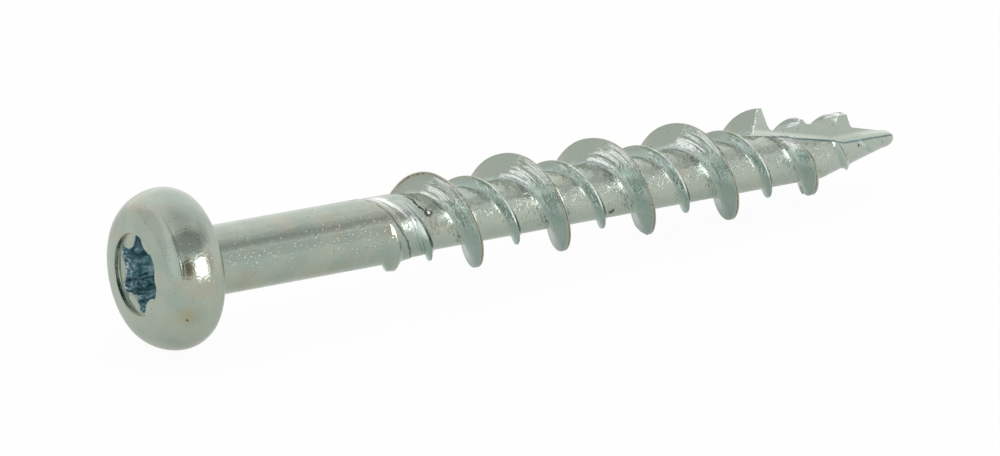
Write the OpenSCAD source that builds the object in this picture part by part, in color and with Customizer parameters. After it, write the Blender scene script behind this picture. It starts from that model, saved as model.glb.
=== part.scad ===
// A multi-purpose screw, cold formed and thread rolled in one piece: a pan head with a six-lobe
// recess, a plain shank, a coarse twin thread (one high start, one low start) and a notched point.
// The screw is drawn upright, its seat at Z = 0 and its point downwards, and is then laid down.
// Lying, it touches the surface Z = 0 with the rim of its head and one crest of its high thread,
// and its point looks along +X. Stations are distances from the seat toward the point.

/* [Head] */
// Widest diameter of the head
head_d = 11.8; // [11:0.1:14]
// Height of the head, from its seat to the edge of the recess
head_h = 4.3; // [3.9:0.1:5]
// Height of the widest place over the seat
belly_h = 1.4; // [1:0.1:1.5]
// Radius of the head's side under its widest place
belly_r = 2.2; // [2:0.1:2.6]
// Radius of the domed face
dome_r = 26; // [18:1:40]
// Diameter at which the side and the face would meet in a sharp shoulder
shoulder_d = 9.2; // [8.4:0.1:9.6]
// Radius of the round between the side and the face
shoulder_r = 1.6; // [0.5:0.1:2.4]

/* [Recess] */
// Size of the recess across opposite lobes
lobe_d = 5.7; // [5:0.05:5.8]
// Size of the recess across opposite flutes
flute_d = 4.1; // [3.8:0.05:4.2]
// Radius at the end of a lobe
lobe_r = 0.45; // [0.35:0.05:0.6]
// Diameter of the round mouth over the lobes
mouth_d = 6; // [5.9:0.1:6.6]
// Depth of the round mouth
mouth_h = 0.4; // [0.2:0.05:0.8]
// Depth of the lobes under the edge of the recess
recess_h = 3; // [2:0.1:3.3]
// Depth of the cone at the bottom of the recess
drill_h = 0.7; // [0.4:0.1:0.9]
// Turn of the recess against the start of the thread, in degrees
recess_turn = 9; // [0:1:60]

/* [Shank] */
// Length of the screw under its head
length = 63.5; // [58:0.5:75]
// Diameter of the plain shank
shank_d = 5.1; // [4.8:0.05:5.5]
// Length of the plain shank
shank_l = 17; // [14:0.5:20]
// Radius of the fillet between the shank and the seat
neck_r = 0.5; // [0.2:0.1:1]

/* [Thread] */
// Advance of both threads in one turn
pitch = 7.71; // [7:0.01:8.5]
// Diameter of the core between the threads
core_d = 4.3; // [4:0.05:4.5]
// Outer diameter of the high thread
high_d = 8; // [7.4:0.1:8.6]
// Outer diameter of the low thread
low_d = 5.75; // [5.4:0.05:6.2]
// Width of the flat on a crest
crest_w = 0.26; // [0.15:0.01:0.4]
// Angle of a thread's flank against a plane across the screw
flank = 18; // [14:1:22]
// Station of a crest of the high thread that faces upwards
crest_up = 28.3; // [26:0.05:30]
// Width added to the high thread where the rolling starts
start_w = 0.3; // [0.1:0.05:0.6]

/* [Point] */
// Angle of the point, across the whole cone
point_angle = 26; // [22:1:30]
// Radius of the core where the blunt nose starts
nose_r = 0.7; // [0.4:0.05:0.8]
// Length of the blunt nose
nose_l = 1.2; // [0.8:0.1:1.5]
// Height of the notch's floor over the axis
notch_floor = 0.26; // [0.14:0.02:0.5]
// Distance from the end of the point to the start of the notch
notch_l = 14.2; // [13:0.1:15]
// Slope of the notch's floor where it runs out, in degrees
notch_slope = 12.5; // [10:0.5:15]
// Turn of the notch's floor away from facing straight up, in degrees
notch_turn = 22; // [0:1:45]
// Lean of the notch's wall over its floor, in degrees
notch_lean = 12; // [0:1:25]

/* [Hidden] */

zinc = [0.70, 0.74, 0.71];
$fn = 96;
overlap = 0.5;

head_r = head_d / 2;
mouth_r = mouth_d / 2;
shank_r = shank_d / 2;
core_r = core_d / 2;
high_r = high_d / 2;
low_r = low_d / 2;

// The threaded body starts inside the shank: well under its surface, then just under it at its end
sunk = 0.05;
lead_r = shank_r - sunk;
buried_r = shank_r - 4 * sunk;
buried_end = 0.4;
// The core comes down to its own size over this length behind the shank
fade_l = 0.5 * pitch;
// The high thread starts this far before the end of the shank and rises over this length
high_lead = 4;
high_rise_l = 1.5 * pitch;
// The low thread starts half a turn later and rises over a shorter length
low_lead = 1.5;
low_rise_l = 0.5 * pitch;
// Where it starts, the high thread lacks this share of its foot on the side of the head
start_cut = 0.6;
// Both crests come down toward the point: where they start to, and how steeply
high_fall_l = 11;
low_fall_l = 8.9;
fall_slope = 0.22;
// Distances from the end of the point at which each thread has died away, and over what length
high_end_l = 2.6;
low_end_l = 2.4;
end_fade_l = 1.3;

steps_per_turn = 28;
valley_steps = 5;
fillet_w = 0.3;
fillet_share = 0.07;

cone_l = (core_r - nose_r) / tan(point_angle / 2);
cone_start = length - nose_l - cone_l;

// The share of a smooth change that is done at t, from 0 to 1
function eased(t) = let (c = min(max(t, 0), 1)) c * c * (3 - 2 * c);
function mixed(a, b, t) = a + (b - a) * t;

// Radius of the body under the threads, at a station
function body_r(s) =
    s < shank_l - buried_end ? buried_r
    : s > length - nose_l ? nose_r * sqrt(max(0.05, 1 - pow((s - length + nose_l) / nose_l, 2)))
    : s > cone_start ? core_r - (s - cone_start) * tan(point_angle / 2)
    : mixed(lead_r, core_r, eased((s - shank_l) / fade_l));

// How much of a thread is left near its end
function left_at(s, end_l) = 1 - eased((s - (length - end_l - end_fade_l)) / end_fade_l);

function high_crest_r(s) = let (
    risen = sin(90 * min(max((s - shank_l + high_lead) / high_rise_l, 0), 1)),
    fallen = fall_slope * max(0, s - (length - high_fall_l)))
    mixed(lead_r - 2 * sunk, high_r, risen) - fallen;

function low_crest_r(s) = let (
    risen = eased((s - shank_l + low_lead) / low_rise_l),
    fallen = fall_slope * max(0, s - (length - low_fall_l)))
    mixed(lead_r - 2 * sunk, low_r, risen) - fallen;

// Half the width of a thread at its foot
high_foot = crest_w / 2 + (high_r - core_r) * tan(flank);
low_foot = crest_w / 2 + (low_r - core_r) * tan(flank);

// One turn of the profile at a station, from one low crest to the next. Each entry is the distance
// along the axis from the high crest, the share of the high thread and the share of the low one.
// Toward the point the high thread keeps its foot, so that its lower crest is wider. Where it starts,
// it is wider on the side of the point.
function profile(s) = let (
    wide = 1 - eased((s - shank_l - 1) / (0.5 * pitch)),
    lower_by = s > length / 2 ? (high_r - high_crest_r(s)) * left_at(s, high_end_l) : 0,
    edge = min(crest_w / 2 + 0.7 * lower_by * tan(flank), 0.6 * high_foot),
    foot = high_foot + start_w * wide,
    back_foot = high_foot * (1 - start_cut * wide),
    flank_steps = 3,
    shares = [for (i = [0:flank_steps]) 1 - (1 - fillet_share) * i / flank_steps],
    low_half = [[crest_w / 2, 1], [low_foot, 2 * fillet_share], [low_foot + fillet_w, 0]],
    low_after = [for (p = low_half) [p[0] - pitch / 2, 0, p[1]]],
    low_before = [for (i = [2:-1:0]) [pitch / 2 - low_half[i][0], 0, low_half[i][1]]],
    high_before = [for (i = [flank_steps:-1:0]) [-mixed(edge, back_foot, i / flank_steps), shares[i], 0]],
    high_after = [for (i = [0:flank_steps]) [mixed(edge, foot, i / flank_steps), mixed(shares[i], 1, wide), 0]],
    valley_a = [low_after[2][0], -back_foot - fillet_w],
    valley_b = [foot + fillet_w, low_before[0][0]])
    concat(
        low_after,
        [for (i = [1:valley_steps]) [mixed(valley_a[0], valley_a[1], i / valley_steps), 0, 0]],
        high_before,
        [[0, 1, 0]],
        high_after,
        [for (i = [0:valley_steps - 1]) [mixed(valley_b[0], valley_b[1], i / valley_steps), 0, 0]],
        low_before);

// Distance from a low crest of a place on the profile
function from_low(t) = t < 0 ? t + pitch / 2 : t - pitch / 2;

function thread_r(s, p) = let (
    base = body_r(s),
    high = high_crest_r(s - p[0]),
    low = low_crest_r(s - from_low(p[0])))
    base + max(0, high - base) * p[1] * left_at(s - p[0], high_end_l)
         + max(0, low - base) * p[2] * left_at(s - from_low(p[0]), low_end_l);

// Direction of a place on the profile, turned right-handed about the axis from straight up
function thread_turn(s, p) = 360 * (s - crest_up - p[0]) / pitch;

function ring(s) = [for (p = profile(s)) let (r = thread_r(s, p), a = thread_turn(s, p))
    [r * cos(a), -r * sin(a), -s]];

// Points of a circle's arc, with both of its ends
function arc(centre, r, from, to, steps) = [for (i = [0:steps])
    let (a = mixed(from, to, i / steps)) centre + r * [cos(a), sin(a)]];

// The place where two circles meet, on the right of the line from the first to the second
function meeting(c1, r1, c2, r2) = let (
    d = norm(c2 - c1),
    u = (c2 - c1) / d,
    along = (d * d + r1 * r1 - r2 * r2) / (2 * d),
    aside = sqrt(r1 * r1 - along * along))
    c1 + along * u + aside * [u[1], -u[0]];

function direction(from, to) = atan2(to[1] - from[1], to[0] - from[0]);

module head_body() {
    dome = [0, head_h - sqrt(dome_r * dome_r - mouth_r * mouth_r)];
    corner = [shoulder_d / 2, dome[1] + sqrt(dome_r * dome_r - shoulder_d * shoulder_d / 4)];
    inward = head_r - corner[0];
    upward = corner[1] - belly_h;
    side_r = (inward * inward + upward * upward) / (2 * inward);
    side = [head_r - side_r, belly_h];
    belly = [head_r - belly_r, belly_h];
    round_r = min(shoulder_r, 0.65 * side_r);
    shoulder = meeting(dome, dome_r - round_r, side, side_r - round_r);
    side_end = direction(side, shoulder);
    dome_start = direction(dome, shoulder);
    rotate_extrude()
        polygon(concat(
            [[0, 0]],
            arc(belly, belly_r, -asin(belly_h / belly_r), 0, 7),
            arc(side, side_r, side_end / 10, side_end, 9),
            arc(shoulder, round_r, mixed(side_end, dome_start, 0.12), dome_start, 7),
            arc(dome, dome_r, mixed(dome_start, 90, 0.2), 90, 4)));
}

// A six-lobe outline: round lobes joined by round flutes that touch them
module six_lobes() {
    reach = lobe_d / 2 - lobe_r;
    inner = flute_d / 2;
    step = cos(30);
    flute_r = (reach * reach + inner * inner - 2 * reach * inner * step - lobe_r * lobe_r)
        / (2 * (lobe_r - inner + reach * step));
    for (i = [0:5])
        rotate(60 * i)
            translate([reach, 0])
                circle(lobe_r);
    difference() {
        circle(reach);
        for (i = [0:5])
            rotate(60 * i + 30)
                translate([inner + flute_r, 0])
                    circle(flute_r);
    }
}

module recess() {
    translate([0, 0, head_h - mouth_h])
        cylinder(h = mouth_h + overlap, r = mouth_r);
    translate([0, 0, head_h - recess_h])
        rotate(recess_turn)
            linear_extrude(recess_h - mouth_h / 2)
                six_lobes();
    translate([0, 0, head_h - recess_h - drill_h])
        cylinder(h = drill_h + 0.01, r1 = 0.1, r2 = flute_d / 2 - 0.1);
}

module shank() {
    translate([0, 0, -shank_l])
        cylinder(h = shank_l + overlap, r = shank_r);
    translate([0, 0, -neck_r])
        rotate_extrude()
            difference() {
                square([shank_r + neck_r, neck_r + 0.1]);
                translate([shank_r + neck_r, 0])
                    circle(neck_r);
            }
}

module threaded_body() {
    ring_step = pitch / steps_per_turn;
    first = shank_l - high_lead - ring_step;
    rings = floor((length - nose_l - first) / ring_step);
    nose_steps = 5;
    stations = concat(
        [for (i = [0:rings]) first + i * ring_step],
        [for (i = [1:nose_steps]) length - nose_l * cos(90 * i / nose_steps)]);
    count = len(profile(0));
    last = (len(stations) - 1) * count;
    polyhedron(
        points = [for (s = stations) each ring(s)],
        faces = concat(
            [[for (j = [count - 1:-1:0]) j]],
            [for (i = [0:len(stations) - 2], j = [0:count - 1])
                let (a = i * count + j, b = i * count + (j + 1) % count)
                each [[a, b, a + count], [b, b + count, a + count]]],
            [[for (j = [0:count - 1]) last + j]]));
}

// The notch is cut from the point: a wall through the axis, and a floor that runs out in a ramp
module notch() {
    ramp_r = 6;
    far = 10;
    end = length + overlap;
    start = length - notch_l;
    top = core_r - sunk;
    bend = start + (top - notch_floor) / tan(notch_slope);
    tangent = ramp_r * tan(notch_slope / 2);
    floor_arc = [for (i = [0:5]) let (a = notch_slope * i / 5)
        [notch_floor + ramp_r * (1 - cos(a)), -(bend + tangent - ramp_r * sin(a))]];
    rotate(notch_turn)
        intersection() {
            translate([0, far / 2, 0])
                rotate([90, 0, 0])
                    linear_extrude(2 * far)
                        polygon(concat(
                            [[far, -end], [notch_floor, -end]],
                            floor_arc,
                            [[top, -start], [far, -(start - 0.8)]]));
            rotate(-notch_lean)
                translate([-far, -2 * far, -end - 1])
                    cube([3 * far, 2 * far, end + 1]);
        }
}

module screw() {
    color(zinc) {
        difference() {
            head_body();
            recess();
        }
        shank();
        difference() {
            threaded_body();
            notch();
        }
    }
}

// The screw lies on the rim of its head and on the last full crest that faces down
crest_down = crest_up + pitch * (floor((length - high_fall_l - crest_up) / pitch) - 0.5);
rest_drop = head_r - high_r;
rest_run = crest_down + crest_w / 2 + belly_h;
rest_angle = asin(rest_drop / norm([rest_drop, rest_run]));
// Ends of the laid screw along X, before it is moved over the origin
back_end = -head_h * cos(rest_angle) - mouth_r * sin(rest_angle);
front_end = length * cos(rest_angle);

translate([-(back_end + front_end) / 2, 0, head_r * cos(rest_angle) - belly_h * sin(rest_angle)])
    rotate([0, rest_angle - 90, 0])
        screw();
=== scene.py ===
# %% [markdown]
# # A lying wood screw
# The imported model is loaded first. It is the fixed frame that every piece here is measured against.

# %% Load the frame
import math

import bmesh
import bpy
import numpy as np
from mathutils import Matrix, Vector


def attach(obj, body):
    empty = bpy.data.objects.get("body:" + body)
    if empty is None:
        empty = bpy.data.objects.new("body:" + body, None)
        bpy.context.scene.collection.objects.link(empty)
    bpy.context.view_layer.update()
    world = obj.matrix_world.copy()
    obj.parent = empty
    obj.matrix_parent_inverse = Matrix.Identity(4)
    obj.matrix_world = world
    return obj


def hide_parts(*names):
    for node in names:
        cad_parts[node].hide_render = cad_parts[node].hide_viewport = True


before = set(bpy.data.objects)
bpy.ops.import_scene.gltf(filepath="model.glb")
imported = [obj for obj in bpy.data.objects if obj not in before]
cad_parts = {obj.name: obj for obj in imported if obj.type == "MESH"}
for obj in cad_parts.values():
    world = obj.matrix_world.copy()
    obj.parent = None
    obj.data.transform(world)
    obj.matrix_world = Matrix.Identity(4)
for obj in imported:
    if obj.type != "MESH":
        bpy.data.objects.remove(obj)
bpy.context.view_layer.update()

# %% [markdown]
# The real screw is one length of steel wire. Its head is struck cold in a die, its twin thread is
# rolled between two plates, its point is notched with a small saw, and it is then plated with zinc.
# The sizes are in millimetres. They are the ones of the solids, apart from the notch's turn and the
# lead of the low ridge, which follow the photograph a little more closely here. Stations run from the
# seat under the head toward the point, and angles from straight up toward the camera's side.

# %% Sizes of the screw
HEAD_D, HEAD_H = 11.8, 4.3
BELLY_H, BELLY_R = 1.4, 2.2
DOME_R, SHOULDER_D, SHOULDER_R = 26.0, 9.2, 1.6
LOBE_D, FLUTE_D, LOBE_R = 5.7, 4.1, 0.45
MOUTH_D, MOUTH_H = 6.0, 0.4
RECESS_H, DRILL_H, RECESS_TURN = 3.0, 0.7, 9.0
LENGTH, SHANK_D, SHANK_L, NECK_R = 63.5, 5.1, 17.0, 0.5
PITCH, CORE_D, HIGH_D, LOW_D = 7.71, 4.3, 8.0, 5.75
CREST_W, FLANK, CREST_UP = 0.26, 18.0, 28.3
START_W, START_CUT, LOW_CREST_W = 0.3, 0.6, 0.16
POINT_ANGLE, NOSE_R, NOSE_L = 26.0, 0.7, 1.2
NOTCH_FLOOR, NOTCH_L, NOTCH_SLOPE = 0.26, 14.2, 12.5
NOTCH_TURN, NOTCH_LEAN = 24.5, 12.0
HIGH_LEAD, LOW_LEAD = 4.0, 1.0
HIGH_FALL_L, LOW_FALL_L, FALL_SLOPE = 11.0, 8.9, 0.22
HIGH_END_L, LOW_END_L, END_FADE_L = 2.6, 2.4, 1.3
MM = 0.001

# The plates bite in along a helical edge, this far from the high crest, this deep and this wide.
BITE_AT, BITE_DEPTH, BITE_W = 2.2, 0.06, 0.14

shank_r = SHANK_D / 2
core_r = CORE_D / 2
high_r = HIGH_D / 2
low_r = LOW_D / 2
mouth_r = MOUTH_D / 2
flank_tan = math.tan(math.radians(FLANK))
print("radii of shank, core, high and low crest", shank_r, core_r, high_r, low_r)


def eased(t):
    """The share of a smooth change that is done at t, from 0 to 1."""
    c = np.clip(t, 0, 1)
    return c * c * (3 - 2 * c)


def mixed(a, b, t):
    """The value at share t of the way from a to b."""
    return a + (b - a) * t


# %% [markdown]
# The operators act on whatever is selected, so each step starts with nothing selected and then picks
# its own faces or edges by their place.

# %% Selection helpers
def start_object(name):
    """Names the object that an operator has just added."""
    piece = bpy.context.object
    piece.name = piece.data.name = name
    return piece


def only(piece):
    """Leaves one object selected and active."""
    if bpy.context.object and bpy.context.object.mode != "OBJECT":
        bpy.ops.object.mode_set(mode="OBJECT")
    bpy.ops.object.select_all(action="DESELECT")
    piece.select_set(True)
    bpy.context.view_layer.objects.active = piece


def pick(piece, wanted, kind="VERT"):
    """In edit mode, selects the vertices, edges or faces for which wanted(middle) is true."""
    bpy.ops.mesh.select_mode(type=kind)
    bpy.ops.mesh.select_all(action="DESELECT")
    mesh = bmesh.from_edit_mesh(piece.data)
    elements = {"VERT": mesh.verts, "EDGE": mesh.edges, "FACE": mesh.faces}[kind]
    for element in elements:
        ends = [element] if kind == "VERT" else element.verts
        middle = sum((v.co for v in ends), Vector()) / len(ends)
        element.select_set(bool(wanted(element, middle)))
    mesh.select_flush_mode()
    bmesh.update_edit_mesh(piece.data)


def positions(piece):
    """Places of a piece's vertices, one row each."""
    co = np.empty(len(piece.data.vertices) * 3)
    piece.data.vertices.foreach_get("co", co)
    return co.reshape(-1, 3)


def place(piece, co):
    """Puts a piece's vertices at new places."""
    piece.data.vertices.foreach_set("co", np.ascontiguousarray(co).ravel())
    piece.data.update()


# %% [markdown]
# The threaded stretch is a tube that is twisted as it goes. A ring of points stands around the axis,
# close together where the two ridges will be, and the Screw modifier carries it along one pitch a
# turn. Each point then draws a helix, so that crests and flanks follow rows of the mesh and stay
# crisp. Pulling the rows in and out afterwards makes the thread.

# %% Ring of points for the thread
# Each span is measured from the high crest: where it starts, where it ends and how many points it has.
COLUMN_SPANS = [
    (-PITCH / 2, -3.3, 10),
    (-3.3, -1.05, 10),
    (-1.05, -CREST_W / 2, 26),
    (-CREST_W / 2, CREST_W / 2, 6),
    (CREST_W / 2, 1.4, 30),
    (1.4, 3.3, 24),
    (3.3, PITCH / 2, 14),
]
columns = np.concatenate([np.linspace(a, b, n, endpoint=False) for a, b, n in COLUMN_SPANS])
COLUMNS = len(columns)
THREAD_FROM = 12.3
THREAD_RINGS = 597
print("columns", COLUMNS)

bpy.ops.object.select_all(action="DESELECT")
bpy.ops.mesh.primitive_circle_add(vertices=COLUMNS, radius=shank_r, rotation=(0, math.pi / 2, 0))
screw = start_object("zinc_screw")
bpy.ops.object.transform_apply(location=True, rotation=True, scale=True)
turns = 2 * math.pi * (THREAD_FROM - CREST_UP - columns) / PITCH
ring = np.stack([np.full(COLUMNS, THREAD_FROM), -shank_r * np.sin(turns), shank_r * np.cos(turns)], 1)
place(screw, ring)

# %% Screw the ring along the thread
threaded_l = LENGTH - THREAD_FROM
sweep = screw.modifiers.new("thread", "SCREW")
sweep.axis = "X"
sweep.angle = 2 * math.pi * threaded_l / PITCH
sweep.screw_offset = threaded_l
sweep.steps = sweep.render_steps = THREAD_RINGS
sweep.use_merge_vertices = False
sweep.use_smooth_shade = True
only(screw)
bpy.ops.object.modifier_apply(modifier="thread")
co = positions(screw)
station = co[:, 0]
angle = np.arctan2(-co[:, 1], co[:, 2])
across = station - CREST_UP - PITCH * angle / (2 * math.pi)
across = (across + PITCH / 2 + 1e-4) % PITCH - PITCH / 2 - 1e-4
print("vertices", len(co), "from station", station.min(), "to", station.max())

# %% [markdown]
# Two ridges run around the body, half a turn apart. The high one cuts the wood and the low one widens
# the hole behind it. The plain shank ends in a slanted step, and the core comes down behind it. Toward
# the point both crests come down as well. A radius for every station and angle is the simplest way to
# say all this, because nothing on a thread leans over itself.

# %% Radii of the thread
def body_r(s, turn):
    """Radius under the ridges, from a station and an angle in degrees."""
    cone_l = (core_r - NOSE_R) / math.tan(math.radians(POINT_ANGLE / 2))
    cone_start = LENGTH - NOSE_L - cone_l
    along = np.where(turn < -60, turn + 360, turn)
    bite_edge = CREST_UP - 2 * PITCH + BITE_AT + PITCH * along / 360
    bitten = eased((s - bite_edge) / BITE_W) * eased((along + 60) / 60)
    waist = mixed(shank_r - BITE_DEPTH * bitten, core_r, eased((s - SHANK_L) / (0.5 * PITCH)))
    cone = core_r - (s - cone_start) * math.tan(math.radians(POINT_ANGLE / 2))
    nose = NOSE_R * np.sqrt(np.clip(1 - ((s - LENGTH + NOSE_L) / NOSE_L) ** 2, 0, 1))
    return np.where(s > LENGTH - NOSE_L, nose, np.where(s > cone_start, cone, waist))


def left_at(s, end_l):
    """How much of a ridge is left near its end."""
    return 1 - eased((s - (LENGTH - end_l - END_FADE_L)) / END_FADE_L)


# Both crests start under the shank's surface, so that they come out of it without a step.
sunk_r = shank_r - 0.15


def high_crest_r(s):
    """Radius of the high crest at a station."""
    risen = np.sin(math.pi / 2 * np.clip((s - SHANK_L + HIGH_LEAD) / (1.5 * PITCH), 0, 1))
    fallen = FALL_SLOPE * np.maximum(0, s - (LENGTH - HIGH_FALL_L))
    return mixed(sunk_r, high_r, risen) - fallen


def low_crest_r(s):
    """Radius of the low crest at a station."""
    risen = eased((s - SHANK_L + LOW_LEAD) / (0.5 * PITCH))
    fallen = FALL_SLOPE * np.maximum(0, s - (LENGTH - LOW_FALL_L))
    return mixed(sunk_r, low_r, risen) - fallen


print("crest radii at mid-length", float(high_crest_r(LENGTH / 2)), float(low_crest_r(LENGTH / 2)))

# %% [markdown]
# Seen across, a ridge has a narrow crest, straight flanks and a fillet at its root. The roll squeezed
# metal out in two places: it swelled into a rounded bump where the high ridge begins, and it curled up
# beside the first turn of the low one. Both are added to the plain section of the ridge.

# %% Section across a ridge
high_foot = CREST_W / 2 + (high_r - core_r) * flank_tan
low_foot = CREST_W / 2 + (low_r - core_r) * flank_tan
HIGH_BEND, HIGH_RUN_OUT = 0.60, 1.60
LOW_BEND, LOW_RUN_OUT = 0.2, 1.8


def ridge_share(x, bend, end):
    """Height of a straight flank that runs out in a fillet, 1 at x = 0, from bend on to end."""
    power = (end - bend) / (1 - bend)
    fillet = (1 - bend) * (np.clip(end - x, 0, None) / (end - bend)) ** power
    return np.where(x < bend, 1 - np.clip(x, 0, None), fillet)


def high_section(s, turn, t):
    """Share of the high ridge's height at t from its crest: swollen where it begins, then a plain ridge."""
    wide = 1 - eased((s - SHANK_L - 1) / (0.5 * PITCH))
    tipward = t > 0
    lower_by = np.where(s > LENGTH / 2, (high_r - high_crest_r(s)) * left_at(s, HIGH_END_L), 0)
    edge = np.minimum(CREST_W / 2 + 0.7 * lower_by * flank_tan, 0.6 * high_foot)
    foot = high_foot * (1 - START_CUT * wide * ~tipward) + START_W * wide * tipward
    x = (np.abs(t) - edge) / (foot - edge)
    ledge = 0.02 * eased((x - 0.5) / 0.07) * (1 - eased((x - 0.75) / 0.5)) * ~tipward
    begins = np.where(turn > 0, 1 - eased((turn - 50) / 110), 0) * (s < SHANK_L + 1.5)
    swollen = eased((t + 0.3 - 1.9 * begins) / 0.42) * (0.97 + 0.13 * eased(t / 0.8))
    swollen = swollen * (1 - eased((t - 0.62 - 0.7 * begins) / 0.86))
    return mixed(ridge_share(x, HIGH_BEND, HIGH_RUN_OUT) + ledge, swollen, wide)


def low_section(s, from_low):
    """Share of the low ridge's height, curled up on the head's side of its first turn."""
    x = (np.abs(from_low) - LOW_CREST_W / 2) / (low_foot - LOW_CREST_W / 2)
    just_begun = 1 - eased((s - SHANK_L - 1) / 4)
    curled_up = 0.42 * np.clip(1 + from_low / 1.6, 0, 1) * (from_low < 0) * just_begun
    return np.maximum(ridge_share(x, LOW_BEND, LOW_RUN_OUT), curled_up)


def thread_r(s, turn, t):
    """Radius of the surface at a station and an angle; t is the distance from the high crest."""
    base = body_r(s, turn)
    from_low = np.where(t < 0, t + PITCH / 2, t - PITCH / 2)
    high = np.maximum(0, high_crest_r(s - t) - base) * left_at(s - t, HIGH_END_L)
    low = np.maximum(0, low_crest_r(s - from_low) - base) * left_at(s - from_low, LOW_END_L)
    return base + high * high_section(s, turn, t) + low * low_section(s, from_low)


print("feet of the ridges", high_foot, low_foot)

# %% [markdown]
# A rolled crest keeps a fine fold along its middle, where the metal flowed together from both sides,
# and its height varies a little. One crest was struck flat, as in the photograph. Beside the notch the
# teeth have lost their sharpest corners, and the ridge that meets the lip of the notch is worn down.

# %% Wear of the crests
nose = station > LENGTH - NOSE_L
shaped = station.copy()
shaped[nose] = LENGTH - NOSE_L + NOSE_L * np.sin(math.pi / 2 * (station[nose] - LENGTH + NOSE_L) / NOSE_L)
turned = np.degrees(angle)
radius = thread_r(shaped, turned, across)
body = body_r(shaped, turned)

on_high_crest = eased((radius - 3) / 0.6)
waves = 0.012 * np.sin(3.1 * station + 0.7) + 0.010 * np.sin(7.3 * station + 1.9 * np.sin(1.3 * station))
waves = waves * np.exp(-(across / 0.16) ** 2) * on_high_crest
fold = 0.05 * np.exp(-(across / 0.03) ** 2) * on_high_crest

from_wall = (turned + NOTCH_TURN - NOTCH_LEAN) / 8
worn_teeth = 0.22 * np.exp(-np.clip(-from_wall, 0, None) ** 2) * eased((station - 52) / 3)
off_lip = np.clip(eased((turned - 42) / 38) + (turned < 0) + (turned > 120), 0, 1)
by_lip = 0.75 * (1 - off_lip) * eased((station - 50) / 2) * (1 - eased((station - 56.5) / 1.5))
radius = radius - by_lip * np.clip(radius - body, 0, None)
radius = radius + waves - fold - worn_teeth * np.clip((radius - body) / 0.8, 0, 1)
print("waves up to", waves.max(), "fold", fold.max(), "teeth worn by up to", worn_teeth.max())

# %% Shape the thread
DENT_AT, DENT_TURN, DENT_R, DENT_SLANT = 39.3, 165, 3.85, 0.5
from_dent = np.radians((turned - DENT_TURN + 180) % 360 - 180)
dented = (np.abs(station - DENT_AT) < 1.5) & (np.abs(from_dent) < 1)
struck_r = (DENT_R - DENT_SLANT * (station - DENT_AT)) / np.cos(from_dent)
radius = np.where(dented, np.minimum(radius, struck_r), radius)
co = np.stack([shaped, -radius * np.sin(angle), radius * np.cos(angle)], 1)
place(screw, co)
only(screw)
bpy.ops.object.mode_set(mode="EDIT")
pick(screw, lambda v, p: p.x > LENGTH - 0.0005)
bpy.ops.mesh.merge(type="CENTER")
bpy.ops.object.mode_set(mode="OBJECT")
print("crest radius", radius.max(), "faces", len(screw.data.polygons))

# %% [markdown]
# The head is one stack of rings that starts at the fillet under the head, goes out over the seat and
# the rounded side, comes in over the face and goes down into the recess. On the real screw a punch
# drives the six lobes into the face. Here every ring has its points at the angles that the outline of
# the lobes needs, so that one ring can turn from a circle into lobes without a seam.

# %% Outline of the six lobes
reach = LOBE_D / 2 - LOBE_R
inner = FLUTE_D / 2
cos_30 = math.cos(math.pi / 6)
flute_r = reach ** 2 + inner ** 2 - 2 * reach * inner * cos_30 - LOBE_R ** 2
flute_r = flute_r / (2 * (LOBE_R - inner + reach * cos_30))
flute_at = inner + flute_r


def lobes_r(turn):
    """Radius of the outline of the recess at an angle in radians from the middle of a lobe."""
    folded = np.abs((turn + math.pi / 6) % (math.pi / 3) - math.pi / 6)
    on_lobe = reach * np.cos(folded) + np.sqrt(np.maximum(0, LOBE_R ** 2 - (reach * np.sin(folded)) ** 2))
    off = math.pi / 6 - folded
    on_flute = flute_at * np.cos(off) - np.sqrt(np.maximum(0, flute_r ** 2 - (flute_at * np.sin(off)) ** 2))
    meets = math.atan2(flute_at * LOBE_R / 2, reach * flute_r + LOBE_R * flute_at * cos_30)
    return np.where(folded < meets, on_lobe, on_flute)


fine = np.linspace(0, math.pi / 6, 400)
outline = np.stack([lobes_r(fine) * np.cos(fine), lobes_r(fine) * np.sin(fine)], 1)
run = np.concatenate([[0], np.cumsum(np.linalg.norm(np.diff(outline, axis=0), axis=1))])
steps = COLUMNS // 12
half = np.interp(np.linspace(0, run[-1], steps + 1), run, fine)
one_lobe = np.concatenate([half[:-1], math.pi / 3 - half[:0:-1]])
lobe_turns = np.concatenate([one_lobe + k * math.pi / 3 for k in range(6)])
print("flute radius", flute_r, "narrowest", lobes_r(fine).min(), "widest", lobes_r(fine).max())


# %% [markdown]
# The head's outline is a chain of arcs that run smoothly into each other: the belly, the side, the
# shoulder and the shallow dome. The shoulder has to touch two of them, so its middle is worked out
# from where two circles meet, as with a pair of compasses.

# %% Arcs of the head
def arc(centre, r, a, b, steps):
    """Points of an arc, as distance from the axis and height over the seat; angles in degrees."""
    turn = np.radians(np.linspace(a, b, steps + 1))
    return [(centre[0] + r * math.cos(q), centre[1] + r * math.sin(q)) for q in turn]


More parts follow.
